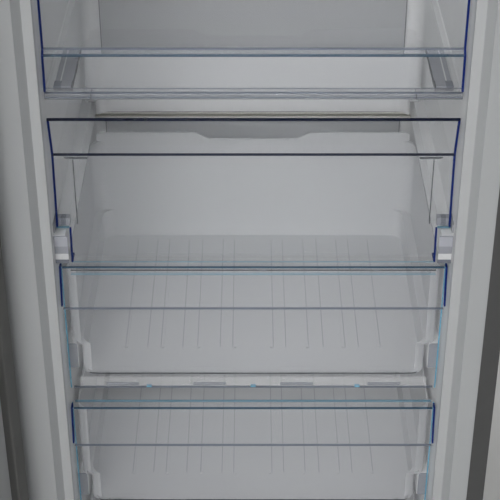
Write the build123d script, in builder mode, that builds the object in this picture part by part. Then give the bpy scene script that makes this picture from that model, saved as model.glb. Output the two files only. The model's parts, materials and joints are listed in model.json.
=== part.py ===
from build123d import *
import os

# Upright no-frost freezer, free-standing, with its door swung open.
# Millimetres. +X to the right as seen from the front, +Y into the cabinet, +Z up.
# The origin lies on the floor, under the middle of the casing's front plane.

# ---------------------------------------------------------------- driving dimensions
casing_width = 600.0
casing_depth = 585.0
casing_top = 1610.0
casing_bottom = 28.0
sheet = 1.2                    # steel of the casing
front_return = 21.0            # width of the steel strip that edges the cabinet's front
return_lap = 8.0               # how far the liner's flange reaches behind that strip

liner_wall = 2.5
liner_offset = 7.0             # the liner sits this far to the right of the casing's middle
mouth_half = 250.0             # liner mouth at the flange
step_half = 242.0              # the mouth where its slanted face ends
step_depth = 15.0
cavity_half = 231.0
cavity_depth = 443.0
cavity_corner = 22.0
cavity_floor = 125.0
cavity_top = 1555.0
bay_step_front = 290.0         # the cavity's floor rises over the compressor bay
bay_step_top = 283.0
recess_half = 204.0            # space behind the rear cover, for the evaporator
recess_space = 72.0
recess_floor = 300.0
recess_top = 1530.0

level_pitch = 212.0
tall_drawer_top = 885.0
tall_drawer_floor = 695.0
low_drawer_top = 690.0         # top of the first of the two equal drawers
low_drawer_bottom = 498.0
bottom_drawer_bottom = 130.0
first_shelf = 914.0            # glass face of the shelf under the lowest flap
tall_drawer_shelf = 692.0

rail_inner = 217.7             # half the width between the rails that carry the drawers
rail_height = 37.0
rail_setback = 23.0            # the rails end this far in front of the cavity's rear
tub_foot_half = 213.7          # lower, narrow part of a tub, between the rails
tub_top_half = 225.0           # upper, wide part that rides on the rails
tub_shoulder = 45.0            # height of the shoulder over the tub's floor
tub_wall = 2.2
slide_gap = 0.3
front_half = 228.8
front_sheet = 3.0

running = 0.05                 # radial clearance of pins and shafts
seat_gap = 0.3

bay_ceiling = 233.0
bay_front = 330.0
pan_sheet = 1.2
pan_floor = 60.0

door_swing = 115.0             # how far open the door stands
door_front = -62.0
door_back = -14.0
door_bottom = 78.0
door_top = 1606.0
hinge_x = -292.0
hinge_y = -22.0
hinge_pin = 4.0

half_casing = casing_width / 2
recess_depth = cavity_depth + recess_space
far = 2000.0                   # longer than anything here, for through cuts


# ---------------------------------------------------------------- small helpers
def block(x, y, z, mode=Mode.ADD):
    """A box between its low and high limits along X, Y and Z."""
    with Locations(((x[0] + x[1]) / 2, (y[0] + y[1]) / 2, (z[0] + z[1]) / 2)):
        Box(x[1] - x[0], y[1] - y[0], z[1] - z[0], mode=mode)


def both(middle, half):
    """Limits that lie the same distance each side of a middle."""
    return (middle - half, middle + half)


def rod(center, radius, length, axis=Axis.Z, mode=Mode.ADD):
    """A round bar centred on a point, along X, Y or Z."""
    turn = {Axis.Z: (0, 0, 0), Axis.Y: (90, 0, 0), Axis.X: (0, 90, 0)}[axis]
    with Locations(center):
        Cylinder(radius, length, rotation=turn, mode=mode)


def bent_sheet(points, thickness, middle, half, side=Side.RIGHT):
    """A sheet bent along a line drawn in depth and height, and pulled out across the cabinet."""
    with BuildPart() as bent:
        with BuildSketch(Plane.YZ.offset(middle)):
            with BuildLine():
                Polyline(*points)
                offset(amount=thickness, side=side, kind=Kind.INTERSECTION)
            make_face()
        extrude(amount=half, both=True)
    return bent.part


# ---------------------------------------------------------------- cabinet casing
crossbar_top = cavity_floor - (mouth_half - cavity_half) - return_lap
inside_casing = half_casing - sheet

with BuildPart() as outer_casing:
    block(both(0, half_casing), (0, casing_depth), (casing_bottom, casing_top))
    block(both(0, inside_casing), (sheet, far), (-far, casing_top - sheet), mode=Mode.SUBTRACT)
    block(both(0, half_casing - front_return), both(0, far), (-far, casing_top - front_return),
          mode=Mode.SUBTRACT)

back_sheet = 1.0
with BuildPart() as back_panel:
    block(both(0, inside_casing), (casing_depth - back_sheet, casing_depth),
          (bay_ceiling + pan_sheet, casing_top - sheet))

# ---------------------------------------------------------------- liner
mouth_top = cavity_top + mouth_half - cavity_half
mouth_bottom = cavity_floor - (mouth_half - cavity_half)
mouth_middle = (mouth_top + mouth_bottom) / 2
mouth_height = mouth_top - mouth_bottom


def mouth_form(extra):
    """The liner's slanted mouth, grown outwards by an extra thickness."""
    step = mouth_half - step_half
    with BuildPart() as form:
        for depth, shrink in ((sheet, 0), (step_depth + extra, step)):
            with BuildSketch(Plane.XZ.offset(-depth)):
                with Locations((liner_offset, mouth_middle)):
                    Rectangle(2 * (mouth_half - shrink + extra), mouth_height - 2 * shrink + 2 * extra)
        loft()
    return form.part


def cavity_form(extra):
    """The space inside the liner, grown outwards by an extra thickness."""
    with BuildPart() as form:
        block(both(liner_offset, cavity_half + extra), (step_depth, cavity_depth + extra),
              (cavity_floor - extra, cavity_top + extra))
        rear = form.edges().filter_by(Axis.Z).group_by(Axis.Y)[-1]
        fillet(rear, cavity_corner + extra)
        block(both(liner_offset, recess_half + extra), (cavity_depth - cavity_corner, recess_depth + extra),
              (recess_floor - extra, recess_top + extra))
        block(both(liner_offset, half_casing), (bay_step_front + extra, far),
              (-far, bay_step_top - extra), mode=Mode.SUBTRACT)
    return form.part


flange_half = half_casing - front_return + return_lap
flange_back = sheet + liner_wall
shelf_levels = [first_shelf + level_pitch * i for i in range(3)]
ledge_reach = 8.0
ledge_height = 9.0
ledge_front = 66.0             # behind the flaps and the drawer fronts
ledge_setback = cavity_corner + 1.0
glass = 4.0

low_floor_rise = 19.0          # a low drawer's floor over the foot of its front
bottom_floor_rise = 12.0
drawer_floors = [
    tall_drawer_floor,
    low_drawer_bottom + low_floor_rise,
    low_drawer_bottom + low_floor_rise - level_pitch,
    bottom_drawer_bottom + bottom_floor_rise,
]
tall_rail_front = 34.0         # this rail shows in the notch of the tall drawer's front
bottom_rail_gap = 2.0
rail_fronts = [tall_rail_front] + [ledge_front] * 3
rail_ends = [cavity_depth - rail_setback] * 3 + [bay_step_front - bottom_rail_gap]

flap_pivot_y = 52.0
flap_pivot_drop = 15.0         # pivot below the top of its compartment
flap_pin = 3.0
compartment_top = 207.0        # height of a flap compartment over its glass
flap_pivots = [level + compartment_top - flap_pivot_drop for level in shelf_levels]

drain_radius = 8.0
drain_y = cavity_depth + 37.0
pin_hole = 10.0

with BuildPart() as liner:
    block(both(0, flange_half), (sheet, flange_back), (crossbar_top, casing_top - front_return + return_lap))
    add(mouth_form(liner_wall))
    add(cavity_form(liner_wall))
    add(mouth_form(0), mode=Mode.SUBTRACT)
    add(cavity_form(0), mode=Mode.SUBTRACT)
    for side in (-1, 1):
        wall = liner_offset + side * (cavity_half + liner_wall / 2)
        inner = liner_offset + side * rail_inner
        for floor, start, stop in zip(drawer_floors, rail_fronts, rail_ends):
            rail_top = floor + tub_shoulder - tub_wall - slide_gap
            block(sorted((wall, inner)), (start, stop), (rail_top - rail_height, rail_top))
        block(sorted((inner - side, liner_offset + side * cavity_half)), (ledge_front, far),
              (tall_drawer_shelf - glass, tall_drawer_shelf + seat_gap), mode=Mode.SUBTRACT)
        reach = liner_offset + side * (cavity_half - ledge_reach)
        for level in [tall_drawer_shelf] + shelf_levels:
            ledge_top = level - glass
            block(sorted((wall, reach)), (ledge_front, cavity_depth - ledge_setback),
                  (ledge_top - ledge_height, ledge_top))
        for pivot in flap_pivots:
            rod((liner_offset + side * cavity_half, flap_pivot_y, pivot), flap_pin + running,
                pin_hole, Axis.X, mode=Mode.SUBTRACT)
    rod((liner_offset, drain_y, recess_floor), drain_radius + running, 2 * pin_hole, mode=Mode.SUBTRACT)

# ---------------------------------------------------------------- foam, pan, crossbar, plinth
crossbar_sheet = 2.5
pan_front = sheet + crossbar_sheet

with BuildPart() as base_pan:
    block(both(0, inside_casing), (pan_front, bay_front + pan_sheet), (pan_floor, pan_floor + pan_sheet))
    block(both(0, inside_casing), (bay_front, bay_front + pan_sheet), (pan_floor, bay_ceiling))
    block(both(0, inside_casing), (bay_front, casing_depth), (bay_ceiling, bay_ceiling + pan_sheet))
    rod((liner_offset, drain_y, bay_ceiling), drain_radius + running, pin_hole, mode=Mode.SUBTRACT)

with BuildPart() as foam_insulation:
    block(both(0, inside_casing), (flange_back, casing_depth - back_sheet),
          (pan_floor + pan_sheet, casing_top - sheet))
    block(both(0, far), (bay_front, far), (-far, bay_ceiling + pan_sheet), mode=Mode.SUBTRACT)
    add(mouth_form(liner_wall), mode=Mode.SUBTRACT)
    add(cavity_form(liner_wall), mode=Mode.SUBTRACT)
    rod((liner_offset, drain_y, recess_floor), drain_radius + running, far, mode=Mode.SUBTRACT)

foot_x = 250.0
foot_y = 45.0
foot_stud = 5.0
crossbar_bottom = 30.0
crossbar_depth = 90.0
hinge_screw = 2.5

with BuildPart() as front_crossbar:
    block(both(0, inside_casing), (sheet, sheet + crossbar_sheet), (crossbar_bottom, crossbar_top))
    block(both(0, inside_casing), (sheet, crossbar_depth),
          (crossbar_bottom, crossbar_bottom + crossbar_sheet))
    with Locations((-foot_x, foot_y, crossbar_bottom), (foot_x, foot_y, crossbar_bottom)):
        Cylinder(foot_stud + running, 6 * crossbar_sheet, mode=Mode.SUBTRACT)

foot_radius = 19.0
foot_pad = 10.0
foot_round = 3.0
foot_hex = 9.0
foot_hex_radius = 11.4
foot_stud_gap = 1.2            # between the stud's tip and the pan


def levelling_foot(x):
    """A pad, a hexagon to turn it by, and a stud that stands in the crossbar."""
    with BuildPart() as foot:
        with BuildSketch():
            with Locations((x, foot_y)):
                Circle(foot_radius)
        extrude(amount=foot_pad)
        fillet(foot.edges().group_by(Axis.Z)[-1], foot_round)
        with BuildSketch(Plane.XY.offset(foot_pad)):
            with Locations((x, foot_y)):
                RegularPolygon(foot_hex_radius, 6)
        extrude(amount=foot_hex)
        with BuildSketch(Plane.XY.offset(foot_pad + foot_hex)):
            with Locations((x, foot_y)):
                Circle(foot_stud)
        extrude(amount=pan_floor - foot_pad - foot_hex - foot_stud_gap)
    return foot


foot_left = levelling_foot(-foot_x)
foot_right = levelling_foot(foot_x)

hinge_plate = 3.0
plinth_left = -252.0
plinth_right = 278.0
plinth_reach = 9.0
plinth_wall = 3.0
plinth_gap = 6.0               # under the door
plinth_slots = 24
plinth_slot_pitch = 20.0
plinth_slot_width = 9.0
plinth_slot_height = 20.0
plinth_top = door_bottom - plinth_gap
plinth_middle = ((plinth_left + plinth_right) / 2, sheet - plinth_reach, (crossbar_bottom + plinth_top) / 2)

with BuildPart() as kick_plinth:
    block((plinth_left, plinth_right), (sheet - plinth_reach, sheet), (crossbar_bottom, plinth_top))
    block(both(0, far), (sheet - plinth_reach + plinth_wall, far),
          (crossbar_bottom + plinth_wall, plinth_top - plinth_wall), mode=Mode.SUBTRACT)
    with Locations(plinth_middle):
        with GridLocations(plinth_slot_pitch, 1, plinth_slots, 1):
            Box(plinth_slot_width, 4 * plinth_wall, plinth_slot_height, mode=Mode.SUBTRACT)

# ---------------------------------------------------------------- compressor bay
support_bottom = 44.0
support_sheet = 2.5
support_front = casing_depth - 200.0
support_back = casing_depth - 10.0
roller_x = 262.0
roller_y = casing_depth - 40.0
roller_radius = 20.0
roller_width = 16.0
roller_round = 2.0
roller_pin = 3.0
pin_head = 2.0
ear = 2.5
ear_half = 12.0
ear_bottom = 12.0
ear_gap = 1.0                  # beside the roller
ear_reach = roller_width / 2 + ear_gap
support_top = support_bottom + support_sheet

with BuildPart() as compressor_support:
    block(both(0, inside_casing), (support_front, support_back), (support_bottom, support_top))
    for side in (-1, 1):
        for inner in (-1, 1):
            near = side * roller_x + inner * ear_reach
            block(sorted((near, near + inner * ear)), both(roller_y, ear_half), (ear_bottom, support_bottom))
        rod((side * roller_x, roller_y, roller_radius), roller_pin, 2 * (ear_reach + ear + pin_head), Axis.X)


def roller(side):
    """A plastic roller that turns on its steel pin."""
    with BuildPart() as wheel:
        rod((side * roller_x, roller_y, roller_radius), roller_radius, roller_width, Axis.X)
        fillet(wheel.edges().filter_by(GeomType.CIRCLE), roller_round)
        rod((side * roller_x, roller_y, roller_radius), roller_pin + running, far, Axis.X, mode=Mode.SUBTRACT)
    return wheel


rear_roller_left = roller(-1)
rear_roller_right = roller(1)

compressor_x = 95.0
compressor_y = casing_depth - 107.0
compressor_radius = 78.0
compressor_foot = 60.0
compressor_height = 142.0
compressor_dome = 40.0
foot_plate_x = 75.0
foot_plate_y = 73.0
foot_plate = 3.0
mount_radius = 11.0
mount_height = 12.0
compressor_base = support_top + mount_height

with BuildPart() as rubber_mounts:
    with Locations((compressor_x, compressor_y, support_top)):
        with GridLocations(2 * compressor_foot, 2 * compressor_foot, 2, 2):
            Cylinder(mount_radius, mount_height, align=(Align.CENTER, Align.CENTER, Align.MIN))

with BuildPart() as compressor:
    block(both(compressor_x, foot_plate_x), both(compressor_y, foot_plate_y),
          (compressor_base, compressor_base + foot_plate))
    with Locations((compressor_x, compressor_y, compressor_base)):
        Cylinder(compressor_radius, compressor_height, align=(Align.CENTER, Align.CENTER, Align.MIN))
    fillet(compressor.edges().group_by(Axis.Z)[-1], compressor_dome)

terminal_reach = 34.0
terminal_half = 30.0
terminal_low = 25.0
terminal_high = 85.0
terminal_round = 4.0
with BuildPart() as terminal_box:
    block((compressor_x + compressor_radius + seat_gap, compressor_x + compressor_radius + terminal_reach),
          both(compressor_y, terminal_half),
          (compressor_base + terminal_low, compressor_base + terminal_high))
    fillet(terminal_box.edges().filter_by(Axis.X), terminal_round)

tray_bottom = compressor_base + compressor_height + seat_gap
tray_left = -105.0             # from the compressor's middle, to reach under the drain
tray_right = 90.0
tray_half = 72.0
tray_height = 24.0
tray_wall = 2.0
tray_corner = 12.0
with BuildPart() as condensate_tray:
    block((compressor_x + tray_left, compressor_x + tray_right), both(compressor_y, tray_half),
          (tray_bottom, tray_bottom + tray_height))
    fillet(condensate_tray.edges().filter_by(Axis.Z), tray_corner)
    offset(amount=-tray_wall, openings=condensate_tray.faces().sort_by(Axis.Z)[-1])

condenser_y = casing_depth + 10.0
condenser_tube = 2.5
condenser_half = 235.0
condenser_rows = 18
condenser_pitch = 64.0
condenser_bottom = 330.0
pipe_x = -262.0
pipe_y = casing_depth - 40.0
pipe_z = 180.0
pipe_bend = 12.0
dryer_x = -130.0
dryer_radius = 9.0
dryer_length = 80.0
bay_cover_sheet = 1.5
vent_middle = 55.0
vent_count = 16
vent_pitch = 22.0
vent_width = 8.0
vent_height = 110.0
gland_x = -240.0
gland_z = 110.0
gland_radius = 9.0
gland_depth = 10.0             # inside the cover's rear face
gland_head = 13.0
gland_head_depth = 6.0
gland_bore = 4.0

with BuildPart() as rear_bay_cover:
    block(both(0, inside_casing), (casing_depth - bay_cover_sheet, casing_depth), (support_top, bay_ceiling))
    with Locations((vent_middle, casing_depth, (support_top + bay_ceiling) / 2)):
        with GridLocations(vent_pitch, 1, vent_count, 1):
            Box(vent_width, 4 * bay_cover_sheet, vent_height, mode=Mode.SUBTRACT)
    rod((gland_x, casing_depth, gland_z), gland_radius, 4 * bay_cover_sheet, Axis.Y, mode=Mode.SUBTRACT)
    rod((pipe_x, casing_depth, pipe_z), condenser_tube + seat_gap, 4 * bay_cover_sheet, Axis.Y,
        mode=Mode.SUBTRACT)

with BuildPart() as cord_gland:
    rod((gland_x, casing_depth + (gland_head_depth - gland_depth) / 2, gland_z), gland_radius,
        gland_depth + gland_head_depth, Axis.Y)
    rod((gland_x, casing_depth + gland_head_depth / 2, gland_z), gland_head, gland_head_depth, Axis.Y)
    rod((gland_x, casing_depth, gland_z), gland_bore, far, Axis.Y, mode=Mode.SUBTRACT)

wire = 0.9
wire_count = 24
wire_pitch = 19.0
wire_reach = 21.0              # past the outermost rows of the tube
wire_overlap = 0.45            # the wires are welded into the tube by this much
bend_gap = 0.5                 # straight left between two bends of a serpentine
bracket_inset = 60.0
bracket_half_width = 9.0
bracket_half_height = 7.0
condenser_top = condenser_bottom + condenser_pitch * (condenser_rows - 1)


def serpentine(half, low, pitch, rows):
    """Corner points of a tube that runs to and fro, one row over the other."""
    points = []
    for row in range(rows):
        side = 1 if row % 2 else -1
        points += [(side * half, low + pitch * row), (-side * half, low + pitch * row)]
    return points


with BuildPart() as condenser:
    with BuildLine(Plane.XZ.offset(-condenser_y)) as run:
        FilletPolyline(*serpentine(condenser_half, condenser_bottom, condenser_pitch, condenser_rows),
                       radius=condenser_pitch / 2 - bend_gap)
    with BuildSketch(Plane(origin=run.line @ 0, z_dir=run.line % 0)):
        Circle(condenser_tube)
    sweep(path=run.line)
    wire_z = (condenser_top + condenser_bottom) / 2
    wire_length = condenser_top - condenser_bottom + 2 * wire_reach
    with Locations((0, condenser_y + condenser_tube + wire - wire_overlap, wire_z)):
        with GridLocations(wire_pitch, 1, wire_count, 1):
            Cylinder(wire, wire_length)
    for x in both(0, condenser_half - bracket_inset):
        for z in (condenser_bottom + 2 * condenser_pitch, condenser_top - 2 * condenser_pitch):
            block(both(x, bracket_half_width), (casing_depth, condenser_y), both(z, bracket_half_height))

outlet_height = 60.0
outlet_run = 40.0
outlet_z = compressor_base + outlet_height
outlet_x = compressor_x - compressor_radius - seat_gap
with BuildPart() as discharge_line:
    with BuildLine() as line:
        FilletPolyline((outlet_x, compressor_y, outlet_z), (outlet_x - outlet_run, compressor_y, outlet_z),
                       (outlet_x - outlet_run, pipe_y, pipe_z), (pipe_x, pipe_y, pipe_z),
                       (pipe_x, condenser_y, pipe_z), (pipe_x, condenser_y, condenser_bottom),
                       (-condenser_half, condenser_y, condenser_bottom), radius=pipe_bend)
    with BuildSketch(Plane(origin=line.line @ 0, z_dir=line.line % 0)):
        Circle(condenser_tube)
    sweep(path=line.line)
    rod((dryer_x, pipe_y, pipe_z), dryer_radius, dryer_length, Axis.X)


# ---------------------------------------------------------------- evaporator space
cover_sheet = 3.0
cover_half = 208.0
cover_lap = 3.0
air_slot_width = 90.0
air_slot_height = 8.0
air_slot_x = 95.0
tall_air_height = 175.0
low_air_height = 120.0
shelf_air_height = 130.0

air_levels = [tall_drawer_floor + tall_air_height]
air_levels += [floor + low_air_height for floor in drawer_floors[1:3]]
air_levels += [level + shelf_air_height for level in shelf_levels]

with BuildPart() as evaporator_cover:
    block(both(liner_offset, cover_half), (cavity_depth - cover_sheet, cavity_depth),
          (bay_step_top + cover_lap, cavity_top - cover_lap))
    for level in air_levels:
        with Locations((liner_offset, cavity_depth, level)):
            with GridLocations(2 * air_slot_x, 1, 2, 1):
                Box(air_slot_width, 4 * cover_sheet, air_slot_height, mode=Mode.SUBTRACT)

coil_half = 165.0
coil_y = cavity_depth + 35.0
coil_bottom = 350.0
coil_pitch = 40.0
coil_rows = 6
coil_tube = 4.5
fin_pitch = 15.0
fin_count = 21
fin_sheet = 0.8
fin_height = 228.0
fin_margin = 8.0               # between the fins and the walls before and behind them
end_plate = 1.5
end_plate_gap = 3.0
tie_rod = 2.0
heater_z = coil_bottom - 25.0
heater_tube = 5.5
heater_bush = 7.5
heater_bush_length = 20.0
trough_height = 14.0
coil_end = coil_half + coil_tube + end_plate_gap

with BuildPart() as evaporator:
    with BuildLine(Plane.XZ.offset(-coil_y)) as run:
        FilletPolyline(*serpentine(coil_half, coil_bottom, coil_pitch, coil_rows),
                       radius=coil_pitch / 2 - bend_gap)
    with BuildSketch(Plane(origin=run.line @ 0, z_dir=run.line % 0)):
        Circle(coil_tube)
    sweep(path=run.line)
    fin_z = coil_bottom + coil_pitch * (coil_rows - 1) / 2
    with Locations((0, coil_y, fin_z)):
        with GridLocations(fin_pitch, 1, fin_count, 1):
            Box(fin_sheet, recess_space - 2 * fin_margin, fin_height)
    for end in both(0, coil_end):
        block(both(end, end_plate / 2), (cavity_depth, recess_depth),
              (recess_floor + trough_height + seat_gap, fin_z + coil_pitch * coil_rows / 2))
    for row in range(coil_rows - 1):
        rod((0, coil_y, coil_bottom + coil_pitch * (row + 0.5)), tie_rod, 2 * coil_end, Axis.X)
    for end in both(0, coil_end):
        rod((end, coil_y, heater_z), heater_bush, 2 * heater_bush, Axis.X, mode=Mode.SUBTRACT)

with BuildPart() as defrost_heater:
    rod((0, coil_y, heater_z), heater_tube, 2 * coil_half, Axis.X)
    for end in both(0, coil_end):
        rod((end, coil_y, heater_z), heater_bush, heater_bush_length, Axis.X)

trough_margin = 14.0           # at each end of the recess
trough_half = 28.0
trough_wall = 2.0
boss_half = 14.0
drain_dip = 8.0                # the drain's end hangs this far into the tray
trough_width_half = recess_half - trough_margin
drain_top = recess_floor + trough_wall / 2
drain_end = tray_bottom + tray_height - drain_dip
with BuildPart() as drain_trough:
    block(both(liner_offset, trough_width_half), both(drain_y, trough_half),
          (recess_floor, recess_floor + trough_height))
    block(both(liner_offset, trough_width_half - trough_wall), both(drain_y, trough_half - trough_wall),
          (recess_floor + trough_wall, far), mode=Mode.SUBTRACT)
    block(both(liner_offset, boss_half), both(drain_y, boss_half), (recess_floor, recess_floor + trough_wall))
    rod((liner_offset, drain_y, (drain_top + drain_end) / 2), drain_radius, drain_top - drain_end)
    rod((liner_offset, drain_y, drain_end), drain_radius - trough_wall, far, mode=Mode.SUBTRACT)

fan_z = 720.0
fan_y = cavity_depth + 19.0
housing_front = cavity_depth + 31.0
fan_radius = 50.0
fan_tip_gap = 5.0
fan_shaft = 2.5
hub_radius = 15.0
hub_length = 14.0
shaft_reach = 27.0             # the shaft's end, behind the middle of the hub
motor_radius = 19.0
motor_length = 26.0
frame_half = 75.0
frame_sheet = 3.0
spoke_pitch = 16.0
spoke_half = 3.0
post_x = 70.0
post_z = 60.0
post_half = 5.0

frame_y = (housing_front, housing_front + frame_sheet)

with BuildPart() as fan_housing:
    block(both(liner_offset, frame_half), frame_y, both(fan_z, frame_half))
    rod((liner_offset, housing_front, fan_z), fan_radius + fan_tip_gap, far, Axis.Y, mode=Mode.SUBTRACT)
    rod((liner_offset, housing_front + motor_length / 2, fan_z), motor_radius, motor_length, Axis.Y)
    for z in both(fan_z, spoke_pitch / 2):
        block(both(liner_offset, frame_half), frame_y, both(z, spoke_half))
    for x in both(liner_offset, post_x):
        for z in both(fan_z, post_z):
            block(both(x, post_half), (housing_front, recess_depth), both(z, post_half))
    rod((liner_offset, housing_front, fan_z), fan_shaft + running, 2 * motor_length, Axis.Y,
        mode=Mode.SUBTRACT)

blade_count = 5
blade_root = 12.0
blade_width = 22.0
blade_sheet = 2.0
blade_twist = 32.0
blade_length = fan_radius - blade_root
with BuildPart() as fan_rotor:
    rod((liner_offset, fan_y, fan_z), hub_radius, hub_length, Axis.Y)
    rod((liner_offset, fan_y + shaft_reach / 2, fan_z), fan_shaft, shaft_reach, Axis.Y)
    for index in range(blade_count):
        angle = 360 / blade_count * index
        with Locations(Location((liner_offset, fan_y, fan_z), (0, angle, 0))):
            with Locations(Location((blade_root + blade_length / 2, 0, 0), (blade_twist, 0, 0))):
                Box(blade_length, blade_sheet, blade_width)

sensor_x = -113.0
sensor_half_width = 14.0
sensor_half_height = 9.0
sensor_depth = 7.0
sensor_round = 3.0
sensor_height = 160.0
sensor_back = cavity_depth - cover_sheet
with BuildPart() as temperature_sensor:
    block(both(sensor_x, sensor_half_width), (sensor_back - sensor_depth, sensor_back),
          both(first_shelf + sensor_height, sensor_half_height))
    fillet(temperature_sensor.edges().filter_by(Axis.Y), sensor_round)

# ---------------------------------------------------------------- shelves
shelf_front = 50.0
shelf_back = cavity_depth - 7.0
shelf_half = 228.0
trim_front = 40.0
trim_depth = 12.0
trim_under = 5.0
trim_over = 4.0
trim_round = 2.5
trim_groove = 8.0
rear_trim_front = cavity_depth - 19.0
rear_trim_half = 229.5
rear_trim_height = 15.0
rear_trim_depth = 12.0
rear_trim_drop = 7.0
rear_trim_round = 11.0
strip_inner = 199.0
strip_outer = 220.0
strip_height = 3.0
strip_back = 152.0
strip_stop = 14.0              # length of the raised stop at the strip's front

with BuildPart() as drawer_shelf_glass:
    block(both(liner_offset, shelf_half), (ledge_front, rear_trim_front + trim_groove),
          (tall_drawer_shelf - glass, tall_drawer_shelf))
    fillet(drawer_shelf_glass.edges().filter_by(Axis.Z).group_by(Axis.Y)[-1], trim_groove)

with BuildPart() as flap_shelf_glass:
    for level in shelf_levels:
        block(both(liner_offset, shelf_half), (shelf_front, shelf_back), (level - glass, level))
    fillet(flap_shelf_glass.edges().filter_by(Axis.Z).group_by(Axis.Y)[-1], cavity_corner)

with BuildPart() as shelf_front_trims:
    for level in shelf_levels:
        block(both(liner_offset, front_half), (trim_front, trim_front + trim_depth),
              (level - trim_under, level + trim_over))
    fillet(shelf_front_trims.edges().filter_by(Axis.X).group_by(Axis.Y)[0], trim_round)
    for level in shelf_levels:
        block(both(liner_offset, far), (shelf_front, far), (level - glass, level), mode=Mode.SUBTRACT)

with BuildPart() as rear_shelf_trim:
    low = tall_drawer_shelf - glass - rear_trim_drop
    block(both(liner_offset, rear_trim_half), (rear_trim_front, rear_trim_front + rear_trim_depth),
          (low, low + rear_trim_height))
    fillet(rear_shelf_trim.edges().filter_by(Axis.Z).group_by(Axis.Y)[-1], rear_trim_round)
    block(both(liner_offset, shelf_half), (0, rear_trim_front + trim_groove),
          (tall_drawer_shelf - glass, tall_drawer_shelf), mode=Mode.SUBTRACT)

with BuildPart() as shelf_side_strips:
    for level in shelf_levels:
        for side in (-1, 1):
            x = sorted((liner_offset + side * strip_inner, liner_offset + side * strip_outer))
            start = trim_front + trim_depth
            block(x, (start, strip_back), (level, level + strip_height))
            block(x, (start, start + strip_stop), (level, level + 2 * strip_height))

# ---------------------------------------------------------------- flaps
flap_sheet = 3.0
flap_face = 48.0
flap_grip_reach = 5.0
flap_lip = 40.0
flap_top_gap = 5.0
boss_length = 4.0
boss_inset = 2.0
pin_length = 6.0
pin_inset = 1.0
grip_top = 52.5                # height of the grip bend over the glass
grip_bottom = 47.0
flap_foot = 6.0                # clearance over the shelf's front trim


def flap(level, pivot):
    """A clear flap hung on two moulded pins, with a bend near its foot to pull it by."""
    with BuildPart() as panel:
        add(bent_sheet([(flap_face, level + compartment_top - flap_top_gap), (flap_face, level + grip_top),
                        (flap_face - flap_grip_reach, level + grip_bottom), (flap_lip, level + flap_foot)],
                       flap_sheet, liner_offset, front_half))
        for x in both(liner_offset, front_half - boss_inset):
            rod((x, flap_pivot_y, pivot), 2 * flap_pin, boss_length, Axis.X)
        for x in both(liner_offset, cavity_half - pin_inset):
            rod((x, flap_pivot_y, pivot), flap_pin, pin_length, Axis.X)
    return panel


flap_1 = flap(shelf_levels[0], flap_pivots[0])
flap_2 = flap(shelf_levels[1], flap_pivots[1])
flap_3 = flap(shelf_levels[2], flap_pivots[2])

# ---------------------------------------------------------------- drawers
tub_corner = 18.0
tub_back = cavity_depth - 60.0
bottom_tub_back = bay_step_front - 6.0
back_rise = 13.0               # the rear wall stands above the side walls
crown_radius = 20.0            # upper corners of the rear wall
dip_half = 61.0
dip_ramp = 78.0
dip_depth = 9.5
rib_pitch = 46.3
rib_count = 8
rib_width = 4.0
rib_height = 1.2
rib_front = 110.0
rib_back = 330.0
rib_margin = 30.0              # a rib stops at least this far before the rear wall
visor_drop = 55.0
visor_front = 31.0
visor_top = 40.0
main_face = 52.0
face_lean = 3.0                # how far the face's foot lies behind its top
face_overlap = 2.0             # the face reaches into the visor's top
visor_rear = 4.5               # the visor's top ends this far behind the face
clip_pitch = 109.3
clip_width = 41.0
clip_count = 4
clip_sheet = 2.0
clip_rise = 3.0                # over the foot of the face
clip_lap = 12.0                # overlap of a clip with the tub's front wall
low_tub_front = main_face + face_lean + front_sheet + clip_sheet / 2


def drawer_tub(floor, side_top, front, back):
    """A clear tub whose shoulders ride on the rails of the liner."""
    shoulder = floor + tub_shoulder
    rise = side_top + back_rise

    def form(extra, top):
        """The tub's outer form, drawn in by an extra thickness."""
        with BuildPart() as body:
            with BuildSketch(Plane.XY.offset(floor + extra)):
                with Locations((liner_offset, (front + back) / 2)):
                    RectangleRounded(2 * (tub_foot_half - extra), back - front - 2 * extra, tub_corner)
            extrude(amount=top - floor - extra)
            with BuildSketch(Plane.XY.offset(shoulder - tub_wall + extra)):
                with Locations((liner_offset, (front + back) / 2)):
                    RectangleRounded(2 * (tub_top_half - extra), back - front - 2 * extra, tub_corner)
            extrude(amount=top - shoulder + tub_wall - extra)
        return body.part

    with BuildPart() as tub:
        add(form(0, rise))
        add(form(tub_wall, far), mode=Mode.SUBTRACT)
        block(both(liner_offset, half_casing), (0, back - tub_wall), (side_top, far), mode=Mode.SUBTRACT)
        with BuildSketch(Plane.XZ.offset(-back + tub_corner + tub_wall)):
            with Locations((liner_offset, rise - back_rise / 2)):
                Rectangle(casing_width, back_rise)
            with Locations((liner_offset, rise - 2 * back_rise)):
                RectangleRounded(2 * tub_top_half, 4 * back_rise, crown_radius, mode=Mode.SUBTRACT)
        extrude(amount=-2 * tub_corner, mode=Mode.SUBTRACT)
        with BuildSketch(Plane.XZ.offset(-back + 2 * tub_wall)):
            with Locations((liner_offset, rise)):
                Polygon((-dip_ramp, 0), (-dip_half, -dip_depth), (dip_half, -dip_depth),
                        (dip_ramp, 0), (dip_ramp, dip_depth), (-dip_ramp, dip_depth), align=None)
        extrude(amount=-4 * tub_wall, mode=Mode.SUBTRACT)
        rib_end = min(rib_back, back - rib_margin)
        with Locations((liner_offset, (rib_front + rib_end) / 2, floor + tub_wall + rib_height / 2)):
            with GridLocations(rib_pitch, 1, rib_count, 1):
                Box(rib_width, rib_end - rib_front, rib_height)
    return tub


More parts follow.
